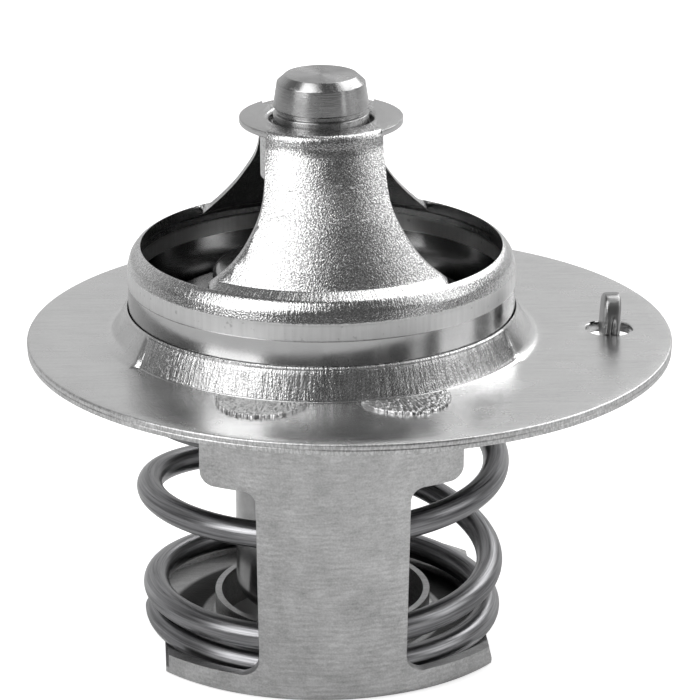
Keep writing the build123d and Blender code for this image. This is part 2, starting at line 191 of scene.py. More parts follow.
def ends_closed(piece):
    """Closes every open end of a piece with one face."""
    only(piece)
    bpy.ops.object.mode_set(mode="EDIT")
    bpy.ops.mesh.select_mode(type="EDGE")
    bpy.ops.mesh.select_all(action="DESELECT")
    bpy.ops.mesh.select_non_manifold()
    bpy.ops.mesh.edge_face_add()
    bpy.ops.object.mode_set(mode="OBJECT")
    return piece


# %% [markdown]
# ### Turned pieces
# A profile is drawn from corner to corner and spun about an upright axis, as a lathe turns a bar. A
# real corner is never quite sharp, so each one may be given an arc of its own radius first.

# %% Turned pieces
def turned(name, profile, steps=192, axis=None):
    """A profile of (radius, height) corners in millimetres, turned about an upright axis."""
    x, y = axis or (valve_x, 0)
    nothing_selected()
    bpy.context.tool_settings.mesh_select_mode = (True, False, False)
    bpy.ops.mesh.primitive_plane_add(size=MM, location=(0, 0, 0))
    piece = named(name)
    edit(piece, bpy.ops.mesh.merge, type="CENTER")
    piece.data.vertices[0].co = ((x + profile[0][0]) * MM, y * MM, profile[0][1] * MM)
    only(piece)
    bpy.ops.object.mode_set(mode="EDIT")
    for before, after in zip(profile, profile[1:]):
        move = ((after[0] - before[0]) * MM, 0, (after[1] - before[1]) * MM)
        bpy.ops.mesh.extrude_region_move(TRANSFORM_OT_translate={"value": move})
    bpy.ops.mesh.select_all(action="SELECT")
    bpy.ops.mesh.spin(steps=steps, angle=math.tau, center=(x * MM, y * MM, 0), axis=(0, 0, 1))
    bpy.ops.object.mode_set(mode="OBJECT")
    return closed(piece)


def rounded(corners, radii, steps=5):
    """The corners of a profile with each one rounded by an arc of its own radius."""
    points = []
    for k, (corner, radius) in enumerate(zip(corners, radii)):
        here = Vector(corner)
        if not radius:
            points.append(tuple(here))
            continue
        back = (Vector(corners[k - 1]) - here).normalized()
        on = (Vector(corners[(k + 1) % len(corners)]) - here).normalized()
        half = back.angle(on) / 2
        centre = here + (back + on).normalized() * radius / math.sin(half)
        start = here + back * radius / math.tan(half) - centre
        sweep = math.pi - 2 * half
        if back.x * on.y - back.y * on.x > 0:
            sweep = -sweep
        for step in range(steps + 1):
            turn = sweep * step / steps
            points.append((centre.x + start.x * math.cos(turn) - start.y * math.sin(turn),
                           centre.y + start.x * math.sin(turn) + start.y * math.cos(turn)))
    return points


# %% [markdown]
# ### Wear and tool marks
# Where one finish ends and the next begins, a smooth ramp blends them. Tool marks are never even, so
# they take their depth from noise, which is random but the same on every run.

# %% Wear and tool marks
def ramp(value, low, high):
    """0 below low, 1 above high, and a smooth rise between."""
    share = min(max((value - low) / (high - low), 0), 1)
    return share * share * (3 - 2 * share)


def rumple(x, y, z, size):
    """A smooth random number from -1 to 1 that changes over about size millimetres."""
    return noise.noise(Vector((x, y, z)) / size)


# %% [markdown]
# ## Flange
# The flange is one pressed plate with a collar drawn up round the bridge's ring. At the front and
# the back a punch has hammered the collar tight against the ring, so there it ends in a crisp
# crease, and on both sides it keeps the soft foot that the drawing left. A spin can't change its
# shape on the way round, so a grid is rolled instead: across it runs the section of the plate, and
# along it the turn, where a weight blends the soft foot into the hammered one.

# %% Flange sections
collar_bore = ring_radius + 0.03
lip_radius = ring_radius + 0.12
collar_end = ring_radius + 2.3
cone_rows = 16
foot_steps = 8


def collar_section(foot_width, foot_radius, lip_overhang):
    """Outside of the collar from its lip to the plate, as (radius, height) points."""
    lip = (lip_radius, collar_top)
    end = (collar_end, flange_sheet)
    curve = rounded([lip, (ring_radius + foot_width, flange_sheet), end], [0, foot_radius, 0], foot_steps)
    start = Vector(curve[1])
    cone = [Vector(lip).lerp(start, row / cone_rows) for row in range(cone_rows)]
    cone[1] += Vector((lip_overhang, 0.04))
    cone[2] += Vector((-lip_overhang, 0.02))
    return [tuple(point) for point in cone] + curve[1:] + [(collar_end + 0.4, flange_sheet)]


soft_side = collar_section(1.2, 1.0, 0)
hammered = collar_section(1.0, 0.16, 0.05)
plate_rings = [(18, flange_sheet), (20, flange_sheet)]
plate_rings += rounded([(21, flange_sheet), (rim_radius, flange_sheet), (rim_radius - 0.01, 0.40),
                        (rim_radius - 0.05, 0.36), (rim_radius - 0.02, 0.30),
                        (rim_radius - 0.03, 0), (21, 0)], [0, 0.15, 0.03, 0, 0.02, 0.06, 0], 4)
plate_rings += [(19, 0), (16, 0), (collar_bore, 0), (collar_bore, collar_top - 0.03),
                (collar_bore + 0.03, collar_top)]
section_rows = len(soft_side) + len(plate_rings)
print("flange section:", section_rows, "rows")

# %% [markdown]
# The punch ran over a stretch of 62 degrees to each side of the front and the back. It left fine
# upright scores on the cone, a few hundredths of a millimetre deep, and a small pit at each end of
# its stretch. Both are moved into the mesh, and the grain between the scores is left to the finish.

# %% Flange
crimp_half_angle = 62
score_depth = 0.012
pit_depth = 0.09


def crimp_weight(turn):
    """1 where the punch has hammered the collar, 0 on its two soft sides."""
    from_middle = abs((turn % 180) - 90)
    return 1 - ramp(from_middle, crimp_half_angle - 0.8, crimp_half_angle + 0.8)


def foot_weight(turn):
    """As the crimp's weight, but the punch struck less hard towards the right end of its foot."""
    return crimp_weight(turn) * (1 - 0.6 * ramp((turn % 180) - 90, 12, 50))


def flange_place(u, v):
    """Point of the flange: u is the way round, v the way along its section."""
    row = round(v * section_rows) % section_rows
    turn = 360 * u
    cos, sin = math.cos(math.radians(turn)), math.sin(math.radians(turn))
    if row < len(soft_side):
        weight = crimp_weight(turn) if row < cone_rows - 3 else foot_weight(turn)
        soft, hard = soft_side[row], hammered[row]
        radius = soft[0] + (hard[0] - soft[0]) * weight
        height = soft[1] + (hard[1] - soft[1]) * weight
        on_cone = ramp(row, 1, 4) * (1 - ramp(row, cone_rows, cone_rows + foot_steps))
        scores = rumple(14 * cos, 14 * sin, 0.2 * height, 0.45) + rumple(14 * cos, 14 * sin, height, 1.8)
        end = abs(abs((turn % 180) - 90) - crimp_half_angle)
        radius += on_cone * (score_depth * weight * scores - pit_depth * (1 - ramp(end, 0.3, 1.6)))
    else:
        radius, height = plate_rings[row - len(soft_side)]
    out = min(max((radius - collar_end) / (rim_radius - 0.5 - collar_end), 0), 1)
    return valve_x * (1 - out) + radius * cos, radius * sin, height


flange = closed(rolled("flange_pressed", 420, section_rows, flange_place))
print("flange:", len(flange.data.polygons), "faces")

# %% [markdown]
# ### Hole for the jiggle pin
# The hole is punched near the rim. A cylinder cuts it, and then its two edges are picked by their
# place and bevelled, because a punch leaves a small round on the side it enters.

# %% Jiggle hole
hole_radius = 1.6
nothing_selected()
bpy.ops.mesh.primitive_cylinder_add(vertices=64, radius=hole_radius * MM, depth=4 * MM,
                                    location=(pin_x * MM, pin_y * MM, 0))
punch = named("punch")
only(flange)
cut = flange.modifiers.new("hole", "BOOLEAN")
cut.object = punch
cut.solver = "EXACT"
bpy.ops.object.modifier_apply(modifier=cut.name)
bpy.data.objects.remove(punch)


def on_hole_edge(middle):
    """True on the two round edges of the jiggle pin's hole."""
    out = math.hypot(middle.x - pin_x, middle.y - pin_y)
    return abs(out - hole_radius) < 0.02 and min(abs(middle.z), abs(middle.z - flange_sheet)) < 0.01


choose(flange, "edges", on_hole_edge)
edit(flange, bpy.ops.mesh.bevel, offset=0.12 * MM, segments=3)
finished(flange, 28)
print("hole edges bevelled")

# %% [markdown]
# ## Bridge
# The bridge is one sheet, drawn to a bell. A collar in its top holds the plug, its shoulder is a
# bead and its foot a straight ring, and then two windows are punched out of it so that two legs are
# left. It is modelled in the same order. The outer skin is given by its corners, each with a bend
# of its own. The inner skin is the same line moved in by the sheet, which makes an outer bend
# tighter and an inner bend wider. The closed section is spun about the valve's axis.

# %% Bridge section
neck_bore = neck_radius - frame_sheet
collar_foot = brim_top - 4.0
bead_foot = 5.62
ring_height = 5.7
bead_top = 7.25
skin_corners = [(neck_bore, collar_foot), (neck_bore, brim_top), (5.45, brim_top), (5.62, brim_top - 1.15),
                (7.25, brim_top - 3.5), (8.85, brim_top - 5.2), (10.7, brim_top - 7.63), (11.42, 7.38),
                (12.55, 7.02), (12.98, 6.45), (ring_radius, bead_foot), (ring_radius, -0.05),
                (ring_radius + 0.75, -0.05)]
skin_bends = [0, 0.35, 0.5, 1.6, 8, 8, 5, 0.06, 0.8, 1.0, 0.9, 0.06, 0]


def moved_in(corners, bends, distance):
    """The corners and bends of a sheet's other face, a distance to the right of the line."""
    moved, other_bends = [], []
    for k, corner in enumerate(corners):
        here = Vector(corner)
        on = (Vector(corners[min(k + 1, len(corners) - 1)]) - here).normalized()
        back = (here - Vector(corners[max(k - 1, 0)])).normalized()
        on, back = on if on.length else back, back if back.length else on
        right_on, right_back = Vector((on.y, -on.x)), Vector((back.y, -back.x))
        moved.append(tuple(here + (right_on + right_back) * distance / (1 + right_on.dot(right_back))))
        turn = back.x * on.y - back.y * on.x
        other_bends.append(bends[k] and max(bends[k] + math.copysign(distance, turn), 0.03))
    return moved, other_bends


outside = rounded(skin_corners, skin_bends, 7)
inside = rounded(*moved_in(skin_corners, skin_bends, frame_sheet), 7)
step_height = 4.55
step = next(k for k, point in enumerate(outside) if point[0] > 13 and point[1] < step_height)
outside[step:step] = [(ring_radius, step_height + 0.06), (ring_radius - 0.04, step_height + 0.03),
                      (ring_radius - 0.04, 0.4)]
section = outside + inside[::-1]
bridge = turned("bridge_pressed", section + section[:1], 240)
print("bridge section:", len(section), "points,", len(bridge.data.polygons), "faces")

# %% [markdown]
# ### The leg's edge
# Seen from the front a leg is narrow at the brim and flares towards the ring. Five points, read at
# the photograph's scale, give half its width at a height, and a smooth curve joins them. It has the
# slope of its neighbours at each point, so the sheared edge shows no corner.

# %% The leg's edge
leg_edge = [(3.9, brim_top - 1.5), (4.22, brim_top - 4.3), (5.2, brim_top - 6.3), (6.38, brim_top - 7.8),
            (7.9, brim_top - 9.13)]


def leg_half_width(height):
    """Half the leg's width at a height, smooth between the edge's points."""
    if height >= leg_edge[0][1]:
        return leg_edge[0][0]
    if height <= leg_edge[-1][1]:
        return leg_edge[-1][0]
    part = next(k for k in range(len(leg_edge) - 1) if leg_edge[k + 1][1] <= height)
    points = [leg_edge[min(max(part + k, 0), len(leg_edge) - 1)] for k in (-1, 0, 1, 2)]
    slopes = [(points[k + 2][0] - points[k][0]) / (points[k + 2][1] - points[k][1]) for k in (0, 1)]
    run = points[2][1] - points[1][1]
    share = (height - points[1][1]) / run
    return ((1 + 2 * share) * (1 - share) ** 2 * points[1][0] + share ** 2 * (3 - 2 * share) * points[2][0]
            + run * share * (1 - share) * ((1 - share) * slopes[0] - share * slopes[1]))


print("leg half widths:", [round(leg_half_width(brim_top - drop), 2) for drop in (2, 4, 6, 8)])

# %% [markdown]
# ### Windows
# A window's punch follows the leg's edge on one side and the ring on the other, and it spares the
# collar. The cutter is a grid whose inner edge is the leg's edge. It is pulled through the whole
# bell, kept outside the collar and inside the ring by two more cuts, and then taken away.
#
# The round tools are turned by less than half a degree. The bell is spun in 240 steps, and a
# cylinder with 240 sides on the same axis would lie plane on plane with it. A cut can't tell the
# inside from the outside of two planes in one place, and now and then it leaves a stray sheet.
# The bell and the cutters are closed bodies, so the solver for closed bodies does the cuts. The
# last line asks that nothing stands above the bell's top.

# %% Windows
window_foot = ring_height
window_top = brim_top + 0.5
window_radius = ring_radius - 0.92
window_reach = 14
brim_inner = 4.5


def cut_with(piece, tool, operation):
    """Takes the tool away from the piece, or keeps only what both share."""
    only(piece)
    cut = piece.modifiers.new("cut", "BOOLEAN")
    cut.object = tool
    cut.operation = operation
    cut.solver = "MANIFOLD"
    bpy.ops.object.modifier_apply(modifier=cut.name)


def round_tool(radius):
    """A tall cylinder on the valve's axis, turned off the steps of the spun bell."""
    nothing_selected()
    bpy.ops.mesh.primitive_cylinder_add(vertices=240, radius=radius * MM, depth=40 * MM,
                                        location=(valve_x * MM, 0, 0), rotation=(0, 0, math.radians(0.4)))
    return named("round_tool")


for side in (-1, 1):
    def window_place(u, v):
        height = window_foot + (window_top - window_foot) * v
        across = window_reach if u > 0.5 else leg_half_width(height)
        return valve_x + side * across, -window_reach, height

    window = rolled("window_tool", 1, 60, window_place)
    choose(window, "polygons", lambda middle: True)
    edit(window, bpy.ops.mesh.extrude_region_move,
         TRANSFORM_OT_translate={"value": (0, 2 * window_reach * MM, 0)})
    choose(window, "polygons", lambda middle: True)
    edit(window, bpy.ops.mesh.normals_make_consistent, inside=False)
    for radius, operation in ((window_radius, "INTERSECT"), (brim_inner, "DIFFERENCE")):
        tool = round_tool(radius)
        cut_with(window, tool, operation)
        bpy.data.objects.remove(tool)
    cut_with(bridge, window, "DIFFERENCE")
    bpy.data.objects.remove(window)
bridge_top = max(corner.co.z for corner in bridge.data.vertices) / MM
print("bridge with windows:", len(bridge.data.polygons), "faces, top at", round(bridge_top, 3))
assert bridge_top < brim_top + 0.01, "a stray sheet of the cutter is left on the bridge"

# %% [markdown]
# ### Brim
# On both sides the bell's flat top stands proud of the legs as a thin brim with a sheared edge. One
# side is a grid rolled round the brim's section, which ends where the leg begins. It is copied and
# turned about the valve's axis for the other side. Both reach into the bell, and their face stands a
# few thousandths of a millimetre over the bell's, so that no two faces share a place.

# %% Brim
brim_radius = (plug_high.x - plug_low.x) / 2 / MM + 2.04
brim_root = brim_inner - 0.25
brim_face = brim_top + 0.004
brim_underside = brim_top - 0.42
brim_section = rounded([(brim_root, brim_underside), (brim_root, brim_face), (brim_radius, brim_face),
                        (brim_radius, brim_underside)], [0, 0, 0.06, 0.08], 3)


def brim_place(u, v):
    """Point of the right-hand brim: u is the way round it, v the way round its section."""
    radius, height = brim_section[round(v * len(brim_section)) % len(brim_section)]
    turn = (2 * u - 1) * math.acos((leg_edge[0][0] - 0.1) / radius)
    return valve_x + radius * math.cos(turn), radius * math.sin(turn), height


brim_right = ends_closed(closed(rolled("brim_right", 60, len(brim_section), brim_place)))
only(brim_right)
bpy.ops.object.duplicate(linked=False)
brim_left = named("brim_left")
bpy.ops.transform.rotate(value=math.pi, orient_axis="Z", center_override=(valve_x * MM, 0, 0))
bpy.ops.object.transform_apply(location=True, rotation=True, scale=True)
brims = [brim_left, brim_right]
for piece in brims:
    finished(piece, 30)
print("brim:", [len(piece.data.polygons) for piece in brims])

# %% [markdown]
# ## Edges
# Two pieces now have sheared edges, the bridge and the stirrup. A narrow bevel runs along the
# stirrup's, because the drum that cleans the pressings rounds them. Its outline and bends are right
# in the CAD model, so it is copied, and only its edges are worked. Its loose triangles are merged
# and its flat stretches joined first, or the bevel would stop at each of them. The bridge's edges
# look as in the photograph without a bevel, so only its shading is evened.

# %% Copies with rounded edges
def copied(node, name):
    """A free copy of a CAD node with its loose triangles merged and its flat faces joined."""
    nothing_selected()
    piece = frame["nodes"][node].copy()
    piece.data = piece.data.copy()
    bpy.context.scene.collection.objects.link(piece)
    piece.parent = None
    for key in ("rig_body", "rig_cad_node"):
        if key in piece:
            del piece[key]
    only(piece)
    named(name)
    piece.data.materials.clear()
    choose(piece, "vertices", lambda middle: True)
    edit(piece, bpy.ops.mesh.remove_doubles, threshold=0.0005 * MM)
    choose(piece, "polygons", lambda middle: True)
    edit(piece, bpy.ops.mesh.dissolve_limited, angle_limit=math.radians(0.4))
    return piece


def shading_evened(piece, angle):
    """Merges corners that lie together, and evens the shading up to the sharp edges."""
    choose(piece, "vertices", lambda middle: True)
    edit(piece, bpy.ops.mesh.remove_doubles, threshold=0.001 * MM)
    finished(piece, angle + 10)
    weighted = piece.modifiers.new("shading", "WEIGHTED_NORMAL")
    weighted.keep_sharp = True
    bpy.ops.object.modifier_apply(modifier=weighted.name)
    return piece


def edge_rounded(piece, width, angle=30):
    """Bevels sharp edges by a width in millimetres, then evens the shading."""
    only(piece)
    bevel = piece.modifiers.new("edges", "BEVEL")
    bevel.width = width * MM
    bevel.segments = 2
    bevel.limit_method = "ANGLE"
    bevel.angle_limit = math.radians(angle)
    bpy.ops.object.modifier_apply(modifier=bevel.name)
    return shading_evened(piece, angle)


shading_evened(bridge, 40)
print("bridge evened:", len(bridge.data.polygons), "faces")

# %% [markdown]
# The stirrup's legs end in tabs that stand through slots in the flange. The press hammered each
# tab's end flat over the slot, and that ragged end is modelled below, so the copy is cut off where
# it leaves the flange: a bisect drops what is above the plane and closes the cut.

# %% Stirrup
stirrup = copied("lower_frame", "stirrup_pressed")
choose(stirrup, "polygons", lambda middle: True)
edit(stirrup, bpy.ops.mesh.bisect, plane_co=(0, 0, (flange_sheet + 0.02) * MM), plane_no=(0, 0, 1),
     use_fill=True, clear_outer=True, threshold=0.0001 * MM)
edge_rounded(stirrup, 0.1)
print("stirrup:", len(stirrup.data.polygons), "faces")

# %% [markdown]
# ## Staked tabs
# A staked tab is a half moon of torn steel: the hammer squeezed it out over the flange in ridges,
# and its front edge cracked. A grid is rolled over the half moon. Its outline takes a coarse random
# wave and a fine one, its top takes ridges that run outwards, and its rim drops into the plate.

# %% Staked tabs
tab_angle = 18.7
stake_half_angle = 12.2
stake_width = 3.1
stake_thickness = 0.26
stake_inner = ring_radius + 1.35


def staked_tab(name, middle, seed):
    """One hammered tab end about an angle on the flange, in degrees."""
    def place(u, v):
        across = 2 * u - 1
        edge = 1 + 0.10 * rumple(9 * across, seed, 0, 1.1) + 0.07 * rumple(9 * across, seed, 5, 0.35)
        reach = max(1 - across ** 2, 0) ** 0.75 * edge
        radius = stake_inner + stake_width * reach * v
        turn = math.radians(middle + across * stake_half_angle)
        x, y = radius * math.cos(turn), radius * math.sin(turn)
        ridges = (0.05 * rumple(16 * across, 1.6 * v, seed, 0.5) + 0.06 * rumple(x, y, seed, 0.28)
                  + 0.045 * rumple(x, y, seed, 0.13))
        side = ramp(1 - abs(across), 0, 0.07) * (1 - ramp(v, 0.96, 1)) * ramp(v, 0, 0.12)
        return x + valve_x, y, flange_sheet - 0.05 + (stake_thickness + ridges) * side

    piece = rolled(name, 150, 60, place)
    choose(piece, "vertices", lambda middle: True)
    edit(piece, bpy.ops.mesh.remove_doubles, threshold=0.001 * MM)
    return finished(closed(ends_closed(piece), 0.0005), 60)


stakes = [staked_tab(f"staked_tab_{side}_{end}", (-90 if side == "front" else 90) + turn * tab_angle, seed)
          for seed, (side, end, turn) in enumerate((("front", "left", -1), ("front", "right", 1),
                                                    ("back", "right", -1), ("back", "left", 1)))]
print("staked tabs:", len(stakes))

# %% [markdown]
# ## Spring
# The spring is cold-wound from oil-tempered wire. Its turns aren't even: the photograph shows a
# closed turn at each end and wider ones between. A long grid is rolled round the wire and wound up
# with the same climb as the CAD solid, given at each quarter turn. The grid's own UV map
# then says how far round and how far along the wire a place is, so the finish can draw die lines.

# %% Spring
wire_radius = 0.9
coil_start = -180
quarter_climb = [0, 0, 0, 0.036, 0.112, 0.136, 0.213, 0.389, 0.552, 0.598, 0.663, 0.824, 0.945, 0.994, 1, 1]
spring_low, spring_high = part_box("main_spring")
coil_low = spring_low.z / MM + wire_radius
coil_high = spring_high.z / MM - wire_radius
coil_radius_low, coil_radius_high = 12.4 - wire_radius, 13.2 - wire_radius


def climb(angle):
    """Share of the spring's height at an angle, smooth between the quarter turns."""
    place = (angle - coil_start) / 90
    quarter = min(int(place), len(quarter_climb) - 2)
    part = place - quarter
    before, start, end, after = (quarter_climb[min(max(quarter + k, 0), len(quarter_climb) - 1)]
                                 for k in (-1, 0, 1, 2))
    rise_in, rise_out = (end - before) / 2, (after - start) / 2
    share = (start + rise_in * part + (3 * (end - start) - 2 * rise_in - rise_out) * part ** 2
             + (2 * (start - end) + rise_in + rise_out) * part ** 3)
    return min(max(share, 0), 1)


def wire_point(angle):
    """Centre of the wire at an angle, in millimetres."""
    share = climb(angle)
    radius = coil_radius_low + (coil_radius_high - coil_radius_low) * share
    return Vector((valve_x + radius * math.cos(math.radians(angle)), radius * math.sin(math.radians(angle)),
                   coil_low + (coil_high - coil_low) * share))


print(f"spring from {coil_low:.2f} to {coil_high:.2f} mm, middle of the wire")

# %% [markdown]
# ### Winding the wire
# The grid's long side runs along the wire and its short side round it. At each place the wire's own
# direction is taken from two points just before and after it, and the skin stands square to that.
# Both ends are cut off straight, as the winder's shear leaves them.

# %% Winding the wire
def spring_place(u, v):
    """Point on the wire's skin: u runs along the wire, v round it, with the seam inside the coil."""
    angle = coil_start + 90 * (len(quarter_climb) - 1) * u
    outward = Vector((math.cos(math.radians(angle)), math.sin(math.radians(angle)), 0))
    ahead = Vector((-outward.y, outward.x, 0))
    if 0 < u < 1:
        ahead = (wire_point(angle + 1) - wire_point(angle - 1)).normalized()
    side = outward.cross(ahead)
    turn = math.tau * v + math.pi
    return wire_point(angle) + wire_radius * (outward * math.cos(turn) + side * math.sin(turn))


spring = ends_closed(closed(rolled("spring_wire", 540, 28, spring_place)))
finished(spring, 60)
print("spring:", len(spring.data.polygons), "faces")

# %% [markdown]
# ## Plug
# The plug is a bar turned on an automatic lathe: a flat top with a small chamfer, a slightly tapered
# head, a groove, and a body pressed into the bridge's neck. Its profile is drawn from corner to
# corner and spun. The cutter's fine rings are left to the finish.

# %% Plug
plug_low_height = plug_low.z / MM
plug_body_radius = (plug_high.x - plug_low.x) / 2 / MM
plug = turned("plug_turned", rounded([(0, plug_top), (2.44, plug_top), (2.98, plug_top - 0.5),
                                      (3.24, brim_top + 0.68), (3.0, brim_top + 0.6),
                                      (3.0, brim_top + 0.34), (3.22, brim_top + 0.28),
                                      (3.22, brim_top - 0.7), (plug_body_radius, brim_top - 0.9),
                                      (plug_body_radius, plug_low_height), (0, plug_low_height)],
                                     [0, 0.08, 0.1, 0.08, 0.04, 0.04, 0.08, 0, 0, 0.1, 0], 5))
finished(plug, 40)
print("plug:", len(plug.data.polygons), "faces")

# %% [markdown]
# ## Jiggle pin
# The pin hangs loose in its hole and lets air out. Its head is pressed flat, an arch when seen from
# its broad side and a narrow strip from the front, and its corners rest on the rim of the hole. A
# grid is rolled round the head, row by row from its neck to its crown, and a fold is pressed into
# its narrow side. The stem and the weight that keeps it upright are turned about the pin's own axis.
# The neck of the head ends inside the stem and is closed there.

# %% Jiggle pin
pin_top_height, pin_foot_height = pin_high.z / MM, pin_low.z / MM
head_foot = -0.6
head_half_depth = 0.62
arch_foot = 1.3
fold_depth = 0.2


def pin_head_place(u, v):
    """Point of the head: u runs round it, v from its neck to the middle of its crown."""
    share = min(v / 0.94, 1)
    height = head_foot + (pin_top_height - head_foot) * (1 - (1 - share) ** 1.7)
    half_width = 0.5 + 0.94 * ramp(height, head_foot, flange_sheet)
    half_depth = 0.5 + (head_half_depth - 0.5) * ramp(height, head_foot, 0.4)
    crown = max(height - arch_foot, 0) / (pin_top_height - arch_foot)
    half_width *= max(1 - crown ** 2.6, 0.012) ** 0.42
    half_depth -= 0.14 * crown ** 8
    cos, sin = math.cos(math.tau * u), math.sin(math.tau * u)
    corner = (abs(cos) ** 5 + abs(sin) ** 5) ** -0.2
    fold = fold_depth * (1 - ramp(height, 1.3, 2.2)) * max(0, 1 - abs(cos - 0.1) / 0.3)
    shrink = 1 - (v - 0.94) / 0.06 if v > 0.94 else 1
    return (pin_x + 0.05 * max(height - flange_sheet, 0) + half_depth * cos * corner * shrink,
            pin_y + (half_width - fold) * sin * corner * shrink, height)


pin_head = finished(ends_closed(closed(rolled("jiggle_pin_head", 80, 64, pin_head_place), 0.004)), 50)
weight_profile = rounded([(0, -0.5), (0.55, -0.5), (0.55, -1.52), (2.3, -1.52), (2.3, pin_foot_height),
                          (0, pin_foot_height)], [0, 0, 0.1, 0.45, 0.45, 0])
pin_weight = finished(turned("jiggle_pin_weight", weight_profile, 64, (pin_x, pin_y)), 50)
print("pin:", len(pin_head.data.polygons) + len(pin_weight.data.polygons), "faces")

# %% [markdown]
# ## Finishes
# Every visible metal here is steel, and what differs is the last tool that touched it. One helper
# adds a node with its settings and links, and another turns a colour as a screen shows it into the
# linear value that light adds up in.

# %% Helpers for materials
def linear(code):
    """An sRGB hex colour as linear RGBA."""
    channels = [int(code[k:k + 2], 16) / 255 for k in (1, 3, 5)]
    return [c / 12.92 if c <= 0.04045 else ((c + 0.055) / 1.055) ** 2.4 for c in channels] + [1]


def new_material(name):
    """An empty node material and its tree."""
    material = bpy.data.materials.new(name)
    material.use_nodes = True
    material.node_tree.nodes.clear()
    return material, material.node_tree


def add(tree, kind, inputs=None, **settings):
    """Adds a node, sets its properties, and fills its inputs with values or links."""
    node = tree.nodes.new(kind)
    for key, value in settings.items():
        setattr(node, key, value)
    for key, value in (inputs or {}).items():
        if isinstance(value, bpy.types.NodeSocket):
            tree.links.new(value, node.inputs[key])
        else:
            node.inputs[key].default_value = value
    return node


# %% [markdown]
# ## Patterns
# All patterns are noise, and what makes one a grain and another a row of scratches is how far it is
# stretched. Lengths are in millimetres about the valve's axis, so a size in a finish is the size on
# the real part. A turned or drawn piece needs streaks that stand upright or run round it: for those
# the direction from the axis is used instead of the angle, which would leave a seam. Each finish is
# a sum of such patterns, and a fade says where one of them begins and ends.

# %% Sums and fades
def calc(tree, operation, first, second=0.5):
    """The result of one sum on two numbers."""
    return add(tree, "ShaderNodeMath", {0: first, 1: second}, operation=operation).outputs[0]


def total(tree, terms):
    """The sum of products: each term is a pair of numbers or links."""
    result = calc(tree, "MULTIPLY", *terms[0])
    for first, second in terms[1:]:
        result = calc(tree, "ADD", result, calc(tree, "MULTIPLY", first, second))
    return result


def fade(tree, value, low, high, start=0.0, end=1.0):
    """A smooth change from start to end while a value goes from low to high."""
    return add(tree, "ShaderNodeMapRange", {"Value": value, "From Min": low, "From Max": high,
                                            "To Min": start, "To Max": end},
               interpolation_type="SMOOTHSTEP").outputs[0]


# %% [markdown]
# ### Grain and streaks
# The place on a piece comes from Object coordinates, moved to the valve's axis and turned to
# millimetres. Noise of a size in millimetres is read there. A sheet's rolled lines come from
# squeezing the place along one direction, and streaks from the spoke that points to the place.

# %% Grain and streaks
def about(tree, axis_x):
    """The place about an upright axis in millimetres, its spoke, its radius and its height."""
    place = add(tree, "ShaderNodeTexCoord").outputs["Object"]
    place = add(tree, "ShaderNodeMapping", {"Vector": place, "Location": (-axis_x, 0, 0),
                                            "Scale": (1 / MM, 1 / MM, 1 / MM)}).outputs[0]
    flat = add(tree, "ShaderNodeVectorMath", {0: place, 1: (1, 1, 0)}, operation="MULTIPLY").outputs[0]
    spoke = add(tree, "ShaderNodeVectorMath", {0: flat}, operation="NORMALIZE").outputs[0]
    radius = add(tree, "ShaderNodeVectorMath", {0: flat}, operation="LENGTH").outputs["Value"]
    height = add(tree, "ShaderNodeSeparateXYZ", {"Vector": place}).outputs["Z"]
    return place, spoke, radius, height


def speckle(tree, vector, size, detail=2.0):
    """Noise of about a size in millimetres, near 0.5."""
    return add(tree, "ShaderNodeTexNoise",
               {"Vector": vector, "Scale": 1 / size, "Detail": detail}).outputs[0]


def stretched(tree, vector, scale):
    """The place squeezed by a scale, which stretches a pattern by its inverse."""
    return add(tree, "ShaderNodeVectorMath", {0: vector, 1: scale}, operation="MULTIPLY").outputs[0]


def streaks(tree, spoke, along, reach, squeeze):
    """A place for streaks: reach millimetres of turn count, and a length along them is squeezed."""
    length = add(tree, "ShaderNodeCombineXYZ", {"Z": calc(tree, "MULTIPLY", along, squeeze)}).outputs[0]
    return add(tree, "ShaderNodeVectorMath", {0: spoke, 1: (reach, reach, reach), 2: length},
               operation="MULTIPLY_ADD").outputs[0]


# %% [markdown]
# ### Bare steel
# Steel is a metal, so its colour is the colour of what it mirrors: the base colour stays a grey, and
# the roughness and the relief do the rest. Where grain is too fine or the room too even for a relief
# to show, the grain is drawn in the grey as well. A turned piece spreads light across its rings.

# %% Bare steel
def tones(tree, share, dark, light):
    """A colour between two sRGB hex colours."""
    return add(tree, "ShaderNodeMix", {"Factor": share, "A": linear(dark), "B": linear(light)},
               data_type="RGBA").outputs["Result"]


def metal(tree, colour, roughness, height, across_lines=None):
    """A steel surface with a relief height in millimetres. Fine lines spread light across them."""
    relief = add(tree, "ShaderNodeBump", {"Height": height, "Strength": 1.0, "Distance": MM})
    shader = add(tree, "ShaderNodeBsdfPrincipled", {"Base Color": colour, "Metallic": 1.0,
                                                    "Roughness": roughness, "Normal": relief.outputs[0]})
    if across_lines:
        shader.inputs["Anisotropic"].default_value = 0.85
        tree.links.new(across_lines, shader.inputs["Tangent"])
    add(tree, "ShaderNodeOutputMaterial", {"Surface": shader.outputs[0]})
    print("finish of", len(tree.nodes), "nodes")


# %% [markdown]
# ### Flange
# Cold-rolled sheet keeps a fine grain and faint lines along the rolling direction, and handling
# makes it cloudy. The punch turned the collar's front and back into a coarse grain with upright
# scores, and the shear left the rim with fine streaks across its edge. Three masks, from the radius
# and the height, say where each of them shows.

